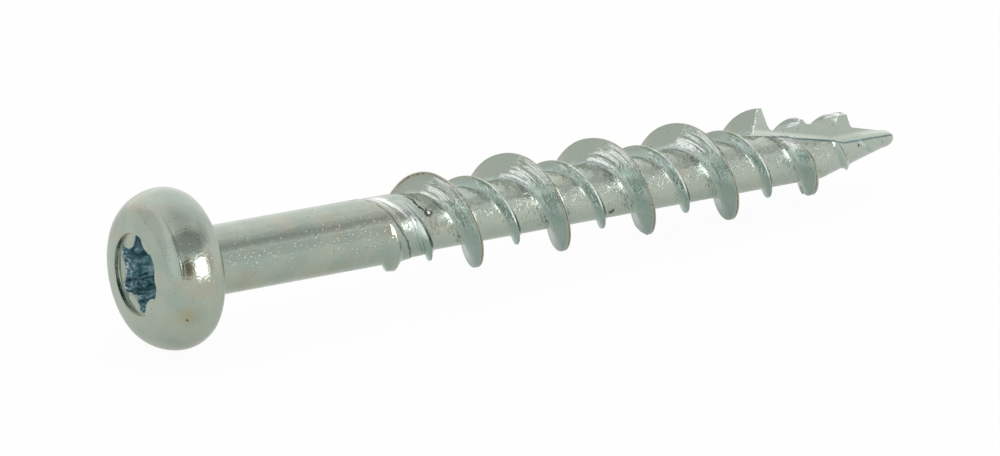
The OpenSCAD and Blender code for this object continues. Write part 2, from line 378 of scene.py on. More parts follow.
dome = (0.0, HEAD_H - math.sqrt(DOME_R ** 2 - mouth_r ** 2))
corner = (SHOULDER_D / 2, dome[1] + math.sqrt(DOME_R ** 2 - SHOULDER_D ** 2 / 4))
inward = HEAD_D / 2 - corner[0]
upward = corner[1] - BELLY_H
side_r = (inward ** 2 + upward ** 2) / (2 * inward)
side = (HEAD_D / 2 - side_r, BELLY_H)
belly = (HEAD_D / 2 - BELLY_R, BELLY_H)
round_r = min(SHOULDER_R, 0.65 * side_r)
gap = math.dist(side, dome)
along = (gap ** 2 + (DOME_R - round_r) ** 2 - (side_r - round_r) ** 2) / (2 * gap)
aside = math.sqrt((DOME_R - round_r) ** 2 - along ** 2)
axis = ((side[0] - dome[0]) / gap, (side[1] - dome[1]) / gap)
shoulder = (dome[0] + along * axis[0] + aside * axis[1], dome[1] + along * axis[1] - aside * axis[0])
side_end = math.degrees(math.atan2(shoulder[1] - side[1], shoulder[0] - side[0]))
dome_start = math.degrees(math.atan2(shoulder[1] - dome[1], shoulder[0] - dome[0]))
print("side radius", side_r, "shoulder at", shoulder)

# %% Profile of the head
seat_edge_r, lip_r, mouth_floor_r = 0.1, 0.07, 0.06
floor_h = HEAD_H - MOUTH_H
mouth_turn = 90 - math.degrees(math.asin((mouth_r + lip_r + 0.01) / DOME_R))
seat_turn = -math.degrees(math.asin(BELLY_H / BELLY_R))
seat_edge = belly[0] + BELLY_R * math.cos(math.radians(seat_turn)) - 0.06

profile = arc((shank_r + NECK_R, -NECK_R), NECK_R, 180, 90, 6)
profile += [(3.6, 0), (4.6, 0)]
profile += arc((seat_edge, seat_edge_r), seat_edge_r, -90, -50, 3)
profile += arc(belly, BELLY_R, seat_turn + 4, 0, 9)
profile += arc(side, side_r, side_end / 64, side_end, 63)
profile += arc(shoulder, round_r, mixed(side_end, dome_start, 0.08), dome_start, 11)
profile += arc(dome, DOME_R, mixed(dome_start, mouth_turn, 0.15), mouth_turn, 6)
profile += arc((mouth_r + lip_r, HEAD_H - lip_r - 0.005), lip_r, 110, 180, 4)
profile += [(mouth_r, floor_h + mouth_floor_r), (mouth_r - 0.02, floor_h + 0.015)]
profile += [(mouth_r - mouth_floor_r, floor_h)]
print("rings", len(profile))

# %% [markdown]
# One circle is extruded along the axis and scaled, again and again, along that profile. This is how a
# turned shape is made by hand from one edge loop, and it keeps every ring's points in line.


# %% Build the head ring by ring
def next_ring(r_from, h_from, r_to, h_to):
    """Extrudes the selected ring along the axis and scales it to its new radius."""
    move = {"value": (-(h_to - h_from), 0, 0)}
    bpy.ops.mesh.extrude_edges_move(TRANSFORM_OT_translate=move)
    bpy.ops.transform.resize(value=(1, r_to / r_from, r_to / r_from), center_override=(-h_to, 0, 0))


def reshape_ring(piece, radius_of):
    """Gives each selected point the radius that belongs to its angle."""
    mesh = bmesh.from_edit_mesh(piece.data)
    for v in mesh.verts:
        if v.select:
            turn = math.atan2(-v.co.y, v.co.z)
            r = float(radius_of(turn + math.radians(RECESS_TURN)))
            v.co.y = -r * math.sin(turn)
            v.co.z = r * math.cos(turn)
    bmesh.update_edit_mesh(piece.data)


only(screw)
bpy.ops.object.select_all(action="DESELECT")
bpy.ops.mesh.primitive_circle_add(vertices=COLUMNS, radius=1, rotation=(0, math.pi / 2, 0))
head = start_object("head")
bpy.ops.object.transform_apply(location=True, rotation=True, scale=True)
turns = lobe_turns - math.radians(RECESS_TURN)
first_r, first_h = profile[0]
place(head, np.stack([np.full(COLUMNS, -first_h), -first_r * np.sin(turns), first_r * np.cos(turns)], 1))
bpy.ops.object.mode_set(mode="EDIT")
bpy.ops.mesh.select_mode(type="EDGE")
bpy.ops.mesh.select_all(action="SELECT")
for (r0, h0), (r1, h1) in zip(profile[:-1], profile[1:]):
    next_ring(r0, h0, r1, h1)
print("rings extruded", len(profile) - 1)

# %% [markdown]
# The punched recess has a short round mouth, then six lobes with upright walls, and a cone where the
# point of the punch went in. Its upper edge is slightly rounded, as cold metal never fills a corner.

# %% Sink the recess
edge_r = 0.09
inside_mouth = mouth_r - mouth_floor_r - 0.002
h_now = floor_h
for q in np.radians([0, 30, 60, 90]):
    h = floor_h - edge_r * (1 - math.cos(q))
    out = edge_r * (1 - math.sin(q))
    next_ring(1, h_now, 1, h)
    reshape_ring(head, lambda turn, out=out: np.minimum(lobes_r(turn) + out, inside_mouth))
    h_now = h
bottom_h = HEAD_H - RECESS_H
for depth in [0.25, 0.5, 0.75, 0.96]:
    h = mixed(floor_h - edge_r, bottom_h, depth)
    next_ring(1, h_now, 1, h)
    h_now = h
next_ring(1, h_now, 1, bottom_h)
reshape_ring(head, lambda turn: lobes_r(turn) - edge_r)
cone_r, cone_h = inner - 0.12, bottom_h - 0.01
middle_r, middle_h = 1.2, cone_h - DRILL_H / 2
next_ring(1, bottom_h, 1, cone_h)
reshape_ring(head, lambda turn: cone_r)
next_ring(cone_r, cone_h, middle_r, middle_h)
next_ring(middle_r, middle_h, 0.25, bottom_h - DRILL_H)
bpy.ops.mesh.merge(type="CENTER")
bpy.ops.object.mode_set(mode="OBJECT")
print("recess from", floor_h, "to", bottom_h, "and", bottom_h - DRILL_H)

# %% [markdown]
# The die left a shallow crease across the head's side. It is so slight that moving the finished
# points by a few hundredths of a millimetre is easier than building it into the rings.

# %% Crease on the head
CREASE_AT, CREASE_H, CREASE_TURN = 3.35, 0.045, 52
CREASE_W, CREASE_FADE, CREASE_SPAN = 0.07, 0.5, 28
co = positions(head)
over_seat = -co[:, 0]
head_r = np.linalg.norm(co[:, 1:], axis=1)
head_turn = np.degrees(np.arctan2(-co[:, 1], co[:, 2]))
from_crease = over_seat - CREASE_AT
crease = CREASE_H * np.tanh(from_crease / CREASE_W) * np.exp(-np.abs(from_crease) / CREASE_FADE)
crease = crease * np.exp(-((head_turn - CREASE_TURN) / CREASE_SPAN) ** 2)
crease = crease * (head_r > 4.8) * (over_seat > 1)
co[:, 1:] *= (1 + crease / np.maximum(head_r, 1))[:, None]
place(head, co)
print("head faces", len(head.data.polygons), "crease up to", crease.max())

# %% [markdown]
# The plain shank joins the two. Bridging the ring under the head with the first ring of the thread
# keeps the screw one closed surface, and the new rings are put back on the shank's radius.

# %% Join the head and the thread
only(screw)
head.select_set(True)
bpy.ops.object.join()
bpy.ops.object.mode_set(mode="EDIT")
pick(screw, lambda e, p: e.is_boundary, "EDGE")
bpy.ops.mesh.bridge_edge_loops(number_cuts=14, interpolation="LINEAR")
bpy.ops.object.mode_set(mode="OBJECT")
co = positions(screw)
between = (co[:, 0] > NECK_R + 0.01) & (co[:, 0] < THREAD_FROM - 0.01)
co[between, 1:] *= (shank_r / np.linalg.norm(co[between, 1:], axis=1))[:, None]
place(screw, co)
only(screw)
bpy.ops.object.mode_set(mode="EDIT")
bpy.ops.mesh.select_all(action="SELECT")
bpy.ops.mesh.remove_doubles(threshold=0.0005)
bpy.ops.mesh.normals_make_consistent(inside=False)
bpy.ops.object.mode_set(mode="OBJECT")
print("shank vertices", int(between.sum()), "faces", len(screw.data.polygons))

# %% [markdown]
# A saw cuts the notch into the finished point. Its floor lies a little over the axis and runs out in
# a ramp, and its wall goes through the axis. The ridges that it cuts through stand as sharp teeth.

# %% Cut the notch
ramp_r = 6.0
far = 10.0
top = core_r - 0.05
notch_start = LENGTH - NOTCH_L
bend = notch_start + (top - NOTCH_FLOOR) / math.tan(math.radians(NOTCH_SLOPE))
tangent = ramp_r * math.tan(math.radians(NOTCH_SLOPE / 2))
rim = [(LENGTH + 0.5, far), (LENGTH + 0.5, NOTCH_FLOOR)]
for q in np.radians(np.linspace(0, NOTCH_SLOPE, 9)):
    rim.append((bend + tangent - ramp_r * math.sin(q), NOTCH_FLOOR + ramp_r * (1 - math.cos(q))))
rim += [(notch_start, top), (notch_start - 0.8, far)]

bpy.ops.object.select_all(action="DESELECT")
bpy.ops.mesh.primitive_circle_add(vertices=len(rim), radius=1, fill_type="NGON")
saw = start_object("saw")
place(saw, np.array([(s, -a * math.tan(math.radians(NOTCH_LEAN)), a) for s, a in rim]))
bpy.ops.object.mode_set(mode="EDIT")
bpy.ops.mesh.select_all(action="SELECT")
bpy.ops.mesh.extrude_region_move(TRANSFORM_OT_translate={"value": (0, -2 * far, 0)})
bpy.ops.mesh.select_all(action="SELECT")
bpy.ops.mesh.normals_make_consistent(inside=False)
bpy.ops.object.mode_set(mode="OBJECT")
saw.data.transform(Matrix.Rotation(math.radians(-NOTCH_TURN), 4, "X"))
cut = screw.modifiers.new("notch", "BOOLEAN")
cut.object = saw
cut.operation = "DIFFERENCE"
cut.solver = "MANIFOLD"
only(screw)
bpy.ops.object.modifier_apply(modifier="notch")
bpy.data.objects.remove(saw)
bpy.ops.object.mode_set(mode="EDIT")
bpy.ops.mesh.select_all(action="SELECT")
bpy.ops.mesh.remove_doubles(threshold=0.0005)
bpy.ops.mesh.normals_make_consistent(inside=False)
bpy.ops.object.mode_set(mode="OBJECT")
bpy.ops.object.shade_smooth_by_angle(angle=math.radians(38))
check = bmesh.new()
check.from_mesh(screw.data)
open_edges = sum(not e.is_manifold for e in check.edges)
print("open edges", open_edges, "volume", check.calc_volume(signed=True))
print("triangles", sum(len(f.verts) - 2 for f in check.faces))
check.free()

# %% [markdown]
# The material has to know where it is on the screw. Each point remembers its place in the screw's own
# frame, in millimetres, before the screw is laid down on the rim of its head and one low crest.

# %% Lay the screw down
own = screw.data.attributes.new("own_place", "FLOAT_VECTOR", "POINT")
own.data.foreach_set("vector", positions(screw).astype(np.float32).ravel())
crest_down = CREST_UP + PITCH * (math.floor((LENGTH - HIGH_FALL_L - CREST_UP) / PITCH) - 0.5)
rest_drop = HEAD_D / 2 - high_r
rest_run = crest_down + CREST_W / 2 + BELLY_H
rest_angle = math.asin(rest_drop / math.hypot(rest_drop, rest_run))
back_end = -HEAD_H * math.cos(rest_angle) - mouth_r * math.sin(rest_angle)
front_end = LENGTH * math.cos(rest_angle)
seat_up = HEAD_D / 2 * math.cos(rest_angle) - BELLY_H * math.sin(rest_angle)
seat = Vector((-(back_end + front_end) / 2, 0, seat_up))
lay = Matrix.Scale(MM, 4) @ Matrix.Translation(seat) @ Matrix.Rotation(rest_angle, 4, "Y")
screw.data.transform(lay)
screw.data.update()
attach(screw, "root")
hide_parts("screw")
print("seat", tuple(seat), "angle", math.degrees(rest_angle))


# %% [markdown]
# Materials are built from nodes. One function turns a written colour into linear values, and one adds
# a node, sets it up and links what flows into it. The others are short names for the usual nodes.

# %% Node helpers
def linear(written):
    """Linear values of a colour written as #rrggbb."""
    parts = [int(written[i:i + 2], 16) / 255 for i in (1, 3, 5)]
    return tuple(c / 12.92 if c <= 0.04045 else ((c + 0.055) / 1.055) ** 2.4 for c in parts)


def add(tree, kind, inputs=(), out=0, **settings):
    """Adds a node and returns one of its outputs. inputs maps sockets to values or to outputs."""
    node = tree.nodes.new(kind)
    for name, value in settings.items():
        setattr(node, name, value)
    for socket, value in dict(inputs).items():
        target = node.inputs[socket]
        if isinstance(value, bpy.types.NodeSocket):
            tree.links.new(value, target)
        elif isinstance(value, str):
            target.default_value = (*linear(value), 1)
        else:
            target.default_value = value
    return None if out is None else node.outputs[out]


def math_of(tree, operation, *values, clamp=False):
    """A step of arithmetic on numbers."""
    return add(tree, "ShaderNodeMath", dict(enumerate(values)), operation=operation, use_clamp=clamp)


def vector_of(tree, operation, *values, out="Vector"):
    """A step of arithmetic on vectors, whose result is a vector, or a number if out is Value."""
    return add(tree, "ShaderNodeVectorMath", dict(enumerate(values)), out=out, operation=operation)


def ramp_of(tree, value, low, high, to_low=0.0, to_high=1.0):
    """A smooth change from to_low to to_high while value goes from low to high."""
    sockets = {"Value": value, "From Min": low, "From Max": high, "To Min": to_low, "To Max": to_high}
    return add(tree, "ShaderNodeMapRange", sockets, interpolation_type="SMOOTHSTEP")


def mix_colours(tree, share, a, b):
    """Colour a, replaced by b as far as share says."""
    return add(tree, "ShaderNodeMix", {0: share, 6: a, 7: b}, out=2, data_type="RGBA")


def noise_of(tree, vector, per_mm, detail=2.0, rough=0.5):
    """Smooth random values around a half."""
    sockets = {"Vector": vector, "Scale": per_mm, "Detail": detail, "Roughness": rough}
    return add(tree, "ShaderNodeTexNoise", sockets)


def new_material(name):
    """An empty material and its tree of nodes."""
    material = bpy.data.materials.new(name)
    material.use_nodes = True
    material.node_tree.nodes.clear()
    return material, material.node_tree


# %% [markdown]
# The zinc coat is a bright metal with a pale green-grey cast from its passivation. It is uneven: it
# has bluer and warmer clouds, a fine grain that sparkles where the light falls, lines along the
# thread where the plates slid, and dark specks where the rolling oil burnt in. The stored place is in
# millimetres, so every scale is per millimetre and every height of the bump is in millimetres.

# %% Place on the screw
zinc, tree = new_material("zinc_coat")
spot_at = add(tree, "ShaderNodeAttribute", out="Vector", attribute_name="own_place")
axes = add(tree, "ShaderNodeSeparateXYZ", {0: spot_at}).node
along_x, side_y, up_z = axes.outputs
flat = add(tree, "ShaderNodeCombineXYZ", {0: 0.0, 1: side_y, 2: up_z})
axis_r = vector_of(tree, "LENGTH", flat, out="Value")
turn = math_of(tree, "ARCTAN2", math_of(tree, "MULTIPLY", side_y, -1.0), up_z)
helix = math_of(tree, "MULTIPLY_ADD", turn, -PITCH / (2 * math.pi), along_x)
helix = math_of(tree, "WRAP", math_of(tree, "SUBTRACT", helix, CREST_UP), PITCH / 2, -PITCH / 2)
from_high = math_of(tree, "ABSOLUTE", helix)
from_low = math_of(tree, "SUBTRACT", PITCH / 2, from_high)
notch_q = math.radians(NOTCH_TURN)
notch_up = (0, math.sin(notch_q), math.cos(notch_q))
notch_side = (0, math.cos(notch_q), -math.sin(notch_q))
over_axis = vector_of(tree, "DOT_PRODUCT", spot_at, notch_up, out="Value")
off_side = vector_of(tree, "DOT_PRODUCT", spot_at, notch_side, out="Value")
off_wall = math_of(tree, "MULTIPLY_ADD", over_axis, math.tan(math.radians(NOTCH_LEAN)), off_side)
print("nodes for the place", len(tree.nodes))

# %% [markdown]
# A coat that changes from place to place is easiest to say in shares: 1 where a thing shows, 0 where
# it doesn't and soft in between. Shares are multiplied where both must hold, and the largest is taken
# where either will do.

# %% Shares
def both(*shares):
    """The product of several shares."""
    total = shares[0]
    for share in shares[1:]:
        total = math_of(tree, "MULTIPLY", total, share)
    return total


def most(*shares):
    """The largest of several shares."""
    total = shares[0]
    for share in shares[1:]:
        total = math_of(tree, "MAXIMUM", total, share)
    return total


def more(total, share, amount):
    """The total, raised by amount where share is 1."""
    return math_of(tree, "MULTIPLY_ADD", share, amount, total)


def line_at(value, middle, half_width):
    """1 on a line where value equals middle, falling to 0 at half_width from it."""
    away = math_of(tree, "ABSOLUTE", math_of(tree, "SUBTRACT", value, middle))
    return ramp_of(tree, away, 0.0, half_width, 1.0, 0.0)


def within(value, from_out, from_in, to_in, to_out):
    """1 where value is between from_in and to_in, falling to 0 at from_out and to_out."""
    return both(ramp_of(tree, value, from_out, from_in), ramp_of(tree, value, to_out, to_in))


def shifted(offset):
    """The place moved away by an offset, so that each noise has values of its own."""
    return vector_of(tree, "ADD", spot_at, offset)


# %% [markdown]
# The plating has clouds some millimetres wide, its grain is a fraction of a millimetre, and the lines
# that the plates left run along the helix. Each is a noise of its own scale. The one for the lines is
# laid out by helix and radius, which draws it out along the thread.

# %% Clouds, grain and rolled lines
clouds = noise_of(tree, spot_at, 0.35, 3.0, 0.55)
warm_clouds = noise_of(tree, shifted((40, 7, 3)), 0.5, 3.0)
grain = noise_of(tree, spot_at, 6.0, 2.0, 0.6)
swell = noise_of(tree, shifted((5, 20, 9)), 1.8, 4.0, 0.52)
along_lines = math_of(tree, "MULTIPLY", along_x, 0.25)
lines_at = add(tree, "ShaderNodeCombineXYZ", {0: helix, 1: axis_r, 2: along_lines})
rolled_lines = noise_of(tree, lines_at, 4.2, 3.0, 0.6)
fine_specks = noise_of(tree, shifted((2, 9, 30)), 4.0, 2.0, 0.7)
blots = noise_of(tree, shifted((12, 4, 1)), 1.2, 2.0, 0.6)
print("nodes with the noises", len(tree.nodes))

# %% [markdown]
# The plates, the punch and the saw each left their own surface: the thread with its core and flanks,
# the recess, and the two faces of the notch. They are found from the sizes of the shapes.

# %% Regions of the screw
threaded = ramp_of(tree, along_x, 16.5, 18.5)
over_core = ramp_of(tree, axis_r, core_r + 0.1, core_r + 0.6)
on_core = both(threaded, math_of(tree, "SUBTRACT", 1.0, over_core))
flanks = both(threaded, over_core, ramp_of(tree, from_high, 0.10, 0.2))
near_tip = ramp_of(tree, along_x, LENGTH - NOTCH_L - 1.5, LENGTH - NOTCH_L - 1.0)
ramp_run = math_of(tree, "MAXIMUM", math_of(tree, "SUBTRACT", bend, along_x), 0.0)
floor_at = more(NOTCH_FLOOR, ramp_run, math.tan(math.radians(NOTCH_SLOPE)))
over_floor = math_of(tree, "SUBTRACT", over_axis, floor_at)
sawn_wall = both(line_at(off_wall, 0.0, 0.06), ramp_of(tree, over_floor, -0.1, -0.02))
sawn_floor = both(line_at(over_floor, 0.0, 0.04), ramp_of(tree, off_wall, 0.05, -0.02))
sawn = both(near_tip, most(sawn_wall, sawn_floor))
unsawn = math_of(tree, "SUBTRACT", 1.0, sawn)
under_mouth = ramp_of(tree, along_x, -3.88, -3.80)
within_lobes = math_of(tree, "LESS_THAN", axis_r, LOBE_D / 2 + 0.03)
recess_mask = both(under_mouth, within_lobes, math_of(tree, "LESS_THAN", along_x, -0.4))
print("nodes with the regions", len(tree.nodes))

# %% [markdown]
# The coat is a pale green-grey that drifts into bluer and warmer clouds. On the core it is lighter.
# The flanks carry painted light by their turn around the axis as in the photograph: painted lighter
# and greyer above, painted shade below and painted highlights in front, where a soft light must have
# stood close to them. The front of the low ridge and the fillet of the high one have painted
# highlights too.

# %% Colour of the coat
colour = mix_colours(tree, ramp_of(tree, clouds, 0.40, 0.62), "#abb2a5", "#a0aca2")
colour = mix_colours(tree, ramp_of(tree, warm_clouds, 0.52, 0.70, 0.0, 0.45), colour, "#aea795")
colour = mix_colours(tree, both(on_core, 0.42), colour, "#c2c9be")
colour = mix_colours(tree, both(flanks, 0.7), colour, "#93a8a0")
# Painted light: the upper flanks are lighter and greyer.
flank_upper_light = both(flanks, ramp_of(tree, turn, 0.7, 0.3))
colour = mix_colours(tree, both(flank_upper_light, 0.8), colour, "#adb6a8")
# Painted shade: the flanks are darker underneath.
flank_under_shade = both(flanks, ramp_of(tree, math_of(tree, "ABSOLUTE", turn), 2.0, 2.5))
colour = mix_colours(tree, both(flank_under_shade, 0.8), colour, "#7f948c")
# Painted highlight: the flanks are almost white in front.
flank_front_highlight = both(flanks, within(turn, 0.35, 0.70, 1.25, 1.65))
colour = mix_colours(tree, both(flank_front_highlight, 0.9), colour, "#d0dbd5")
# Painted highlight on the front of the low ridge.
low_front_highlight = both(flanks, line_at(from_low, 0.0, 1.2), within(turn, 0.95, 1.10, 1.50, 1.75))
colour = mix_colours(tree, both(low_front_highlight, 0.9), colour, "#f0f6f3")
# Painted highlight in the fillet of the high ridge, at the front.
high_fillet_highlight = both(threaded, line_at(helix, -0.98, 0.25), within(turn, 0.80, 1.00, 1.30, 1.55))
colour = mix_colours(tree, both(high_fillet_highlight, 0.8), colour, "#f6faf7")
print("nodes with the coat", len(tree.nodes))

# %% [markdown]
# Beside the ridges there are painted highlights, at the turns where a soft light falls on them. They
# are ragged and break up along the rolled lines, and so are the painted bright lines where the low
# ridge starts. The teeth by the notch have painted highlights as well, and the roots of the ridges
# have painted shade, darker and bluer.

# %% Painted highlights and root shade
ragged_turn = more(math_of(tree, "ADD", turn, -0.45), swell, 0.9)
ragged_turn = more(ragged_turn, line_at(helix, -0.85, 0.75), 0.48)
highlight_turns = within(ragged_turn, 0.05, 0.42, 0.75, 1.10)
beside_high = both(ramp_of(tree, axis_r, core_r + 0.03, core_r + 0.15), line_at(helix, -0.5, 1.1))
beside_low = both(line_at(from_low, 0.1, 0.7), ramp_of(tree, axis_r, core_r + 0.05, core_r + 0.2), 0.6)
first_turn = ramp_of(tree, along_x, 23.0, 21.0)
beside_ridge = most(beside_high, beside_low, both(line_at(helix, 3.0, 1.2), first_turn))
# Painted highlight: bright streaks beside the ridges at the lit turns.
ridge_highlight = both(threaded, highlight_turns, beside_ridge, ramp_of(tree, rolled_lines, 0.39, 0.51), unsawn)
# Painted highlight: bright lines where the low ridge starts.
start_highlight = both(line_at(helix, 3.1, 0.8), first_turn, within(ragged_turn, -0.45, 0.0, 0.8, 1.1))
start_highlight = both(start_highlight, ramp_of(tree, rolled_lines, 0.47, 0.53))
start_highlight = both(start_highlight, ramp_of(tree, along_x, 13.0, 15.0))
colour = mix_colours(tree, both(most(ridge_highlight, start_highlight), 0.95), colour, "#fbfdfb")

# Painted highlights on the tooth tops and along the teeth's sawn edges.
teeth_highlight = both(ramp_of(tree, along_x, 52.5, 54.0), ramp_of(tree, axis_r, 1.9, 2.3), unsawn)
teeth_highlight = both(teeth_highlight, within(turn, -0.70, -0.45, -0.1, 0.0), ramp_of(tree, rolled_lines, 0.44, 0.52))
tooth_edge_highlight = both(near_tip, line_at(off_wall, 0.09, 0.14), ramp_of(tree, axis_r, 2.3, 2.6))
tooth_edge_highlight = both(tooth_edge_highlight, ramp_of(tree, over_floor, 0.0, 0.2), ramp_of(tree, fine_specks, 0.42, 0.52))
colour = mix_colours(tree, most(teeth_highlight, tooth_edge_highlight), colour, "#ffffff")
# Painted shade: the roots of the ridges are darker and bluer.
root = both(threaded, most(line_at(helix, -0.82, 0.22), line_at(from_low, 0.35, 0.25)))
colour = mix_colours(tree, both(root, 0.45), colour, "#8fa9a4")
print("nodes with the rubbed patches", len(tree.nodes))

# %% [markdown]
# The recess is rough from the punch and bluer than the rest. It has painted highlights in some places,
# and painted shade in others and toward its top. The sawn faces are even, and painted lighter toward
# the corner between them.

# %% Recess and notch
colour = mix_colours(tree, both(recess_mask, 0.95), colour, "#b2d4da")
colour = mix_colours(tree, both(sawn, 0.7), colour, "#b2bcb0")
# Painted light: the sawn faces are lighter toward their corner.
sawn_corner_light = both(sawn, ramp_of(tree, over_floor, 0.75, 0.35))
colour = mix_colours(tree, both(sawn_corner_light, 0.9), colour, "#e8eee6")
punched_at = vector_of(tree, "MULTIPLY", spot_at, (0.8, 1.3, 1.3))
punched = noise_of(tree, punched_at, 1.7, 3.0, 0.6)
# Painted highlights in the recess.
recess_highlights = both(recess_mask, ramp_of(tree, punched, 0.52, 0.58))
colour = mix_colours(tree, both(recess_highlights, 0.9), colour, "#f4f9fc")
# Painted shade in the recess: in dark patches and toward its top.
shaded = most(ramp_of(tree, punched, 0.48, 0.40), ramp_of(tree, up_z, 0.9, 2.2, 0.0, 0.7))
colour = mix_colours(tree, both(recess_mask, shaded, 0.8), colour, "#5c838f")
print("nodes with the recess", len(tree.nodes))

# %% [markdown]
# Dirt and burnt oil stay where nothing wipes them off: at the root of the high ridge, along the edge
# where the plates bit in, in the fold of the crest and in streaks between the rolled lines. A dark
# blue line along the lower edge of the notch's floor is painted shade.

# %% Dark lines
worn = ramp_of(tree, fine_specks, 0.40, 0.58)
near_core = ramp_of(tree, axis_r, core_r + 0.5, core_r + 0.3)
root_line = both(threaded, line_at(helix, -0.98, 0.07), near_core)
wavy = more(math_of(tree, "ADD", helix, -0.2), swell, 0.4)
bite_line = both(line_at(wavy, BITE_AT, BITE_W), within(along_x, 14.6, 15.2, 18.6, 19.2))
far_out = both(threaded, ramp_of(tree, axis_r, 2.9, 3.2))
high_crest = both(far_out, line_at(helix, 0.0, 0.17))
crest_fold = both(far_out, line_at(helix, 0.0, 0.05))
# Painted shade: a dark blue line along the lower edge of the notch's floor.
notch_corner_shade = both(line_at(over_floor, -0.12, 0.12), ramp_of(tree, off_wall, -0.15, -0.35))
notch_corner_shade = both(notch_corner_shade, ramp_of(tree, along_x, 50.0, 52.0))
streaks = both(threaded, line_at(rolled_lines, 0.44, 0.022), ramp_of(tree, blots, 0.50, 0.62), unsawn, 0.8)
streaks = both(streaks, line_at(from_high, 1.0, 0.7))
dark_lines = most(both(root_line, worn), bite_line, streaks, both(crest_fold, worn))
colour = mix_colours(tree, both(high_crest, unsawn, 0.5), colour, "#a39a88")
colour = mix_colours(tree, both(dark_lines, unsawn, 0.85), colour, "#47443a")
colour = mix_colours(tree, both(notch_corner_shade, 0.8), colour, "#3f6c74")
print("nodes with the dark lines", len(tree.nodes))

# %% [markdown]
# Some marks belong to this one screw, and they are set where the photograph shows them. They stay with
# the screw when it turns. A noise shifts each point a little, so that no mark has a clean edge.

# %% Marks
def point_at(s, r, q):
    """A point given as station, distance from the axis and angle in degrees."""
    return Vector((s, -r * math.sin(math.radians(q)), r * math.cos(math.radians(q))))


wobble = add(tree, "ShaderNodeTexNoise", {"Vector": spot_at, "Scale": 3.5, "Detail": 2.0}, out="Color")


def shaken(by):
    """The place, moved at random by up to half of by each way."""
    moved = vector_of(tree, "MULTIPLY_ADD", wobble, (by, by, by), spot_at)
    return vector_of(tree, "SUBTRACT", moved, (by / 2, by / 2, by / 2))


ragged = shaken(0.7)
wandering = shaken(0.3)


def scratch(start, end, half_width):
    """A thin line between two points."""
    run = end - start
    from_start = vector_of(tree, "SUBTRACT", wandering, start)
    share = vector_of(tree, "DOT_PRODUCT", from_start, run / run.length_squared, out="Value")
    share = math_of(tree, "MULTIPLY", share, 1.0, clamp=True)
    nearest = add(tree, "ShaderNodeVectorMath", {0: run, "Scale": share}, operation="SCALE")
    away = vector_of(tree, "DISTANCE", from_start, nearest, out="Value")
    return ramp_of(tree, away, half_width * 0.4, half_width, 1.0, 0.0)


def mark(place_mm, radius_mm, soft=0.5, edge=ragged):
    """A mark around a point, round apart from its uneven edge."""
    away = vector_of(tree, "DISTANCE", edge, point_at(*place_mm), out="Value")
    return ramp_of(tree, away, radius_mm * (1 - soft), radius_mm, 1.0, 0.0)


# %% [markdown]
# There are some small pits, a stain on the head, and a crack-like gouge behind the first crest. It ends
# in a larger pit with a white middle on a small raised dome.

# %% Pits, gouge and stains
PITS = [
    ((18.75, 2.36, 39), 0.13), ((35.8, 2.15, 121), 0.25), ((59.2, 1.4, 74), 0.2),
    ((-3.34, 4.9, 95), 0.2), ((-2.9, 5.4, 112), 0.22),
]
GOUGE = [(18.35, 2.44, 6), (18.65, 2.4, 20), (18.65, 2.36, 32), (19.0, 2.32, 42), (19.15, 2.3, 50)]
GOUGE_W = 0.12
big_pit = (19.45, 2.26, 51)
pit_floor = mark(big_pit, 0.2, 0.6, spot_at)
pit_ring = math_of(tree, "SUBTRACT", mark(big_pit, 0.46, 0.6), pit_floor, clamp=True)
pits = most(pit_ring, *[mark(*pit) for pit in PITS])
for start, end in zip(GOUGE[:-1], GOUGE[1:]):
    pits = most(pits, scratch(point_at(*start), point_at(*end), GOUGE_W))
specks = both(ramp_of(tree, fine_specks, 0.66, 0.70), ramp_of(tree, blots, 0.45, 0.6))
head_stain = both(mark((-2.9, 5.5, 108), 1.2, 0.9), 0.45)
brown = both(mark((19.6, 2.4, 80), 1.3, 0.9), ramp_of(tree, fine_specks, 0.45, 0.6), 0.6)
colour = mix_colours(tree, head_stain, colour, "#a8976c")
colour = mix_colours(tree, brown, colour, "#a0806c")
colour = mix_colours(tree, both(specks, 0.6), colour, "#6d6557")
colour = mix_colours(tree, both(pits, 0.9), colour, "#3f372e")
colour = mix_colours(tree, pit_floor, colour, "#ffffff")
print("nodes with the marks", len(tree.nodes))

# %% [markdown]
# What makes it look like metal is its polish. The shank and the core are the smoothest, the flanks
# and the recess less so, and the pits are dull. Single zinc crystals stand up and catch the light.

# %% Grain and polish
rough = more(0.06, clouds, 0.10)
rough = more(rough, both(threaded, over_core), 0.06)
rough = more(rough, recess_mask, 0.06)
rough = more(rough, pits, 0.3)
rough = more(rough, sawn, 0.15)

cells = add(tree, "ShaderNodeTexVoronoi", {"Vector": spot_at, "Scale": 4.5}).node
chance = add(tree, "ShaderNodeSeparateXYZ", {0: cells.outputs["Color"]}, out="X")
crystals = both(ramp_of(tree, cells.outputs["Distance"], 0.38, 0.10), ramp_of(tree, chance, 0.42, 0.52))
crystals = both(crystals, ramp_of(tree, blots, 0.40, 0.55), ramp_of(tree, along_x, -0.5, 2.0, 0.5, 1.0))

height = both(grain, more(more(0.012, on_core, 0.01), recess_mask, 0.04))
height = more(height, crystals, 0.028)
height = more(height, swell, more(0.014, on_core, 0.08))
high_lines = both(threaded, ramp_of(tree, from_high, 1.5, 0.6), more(0.015, highlight_turns, 0.085))
low_lines = both(threaded, line_at(helix, 3.0, 1.0), ramp_of(tree, along_x, 25.0, 21.5), 0.2)
height = more(height, rolled_lines, most(high_lines, low_lines))
height = more(height, both(punched, recess_mask), 0.42)
height = both(height, more(0.1, unsawn, 0.9))
height = more(height, streaks, -0.02)
height = more(height, pits, -0.04)
height = more(height, pit_floor, 0.02)
bumped = add(tree, "ShaderNodeBump", {"Strength": 1.0, "Distance": MM, "Height": height})

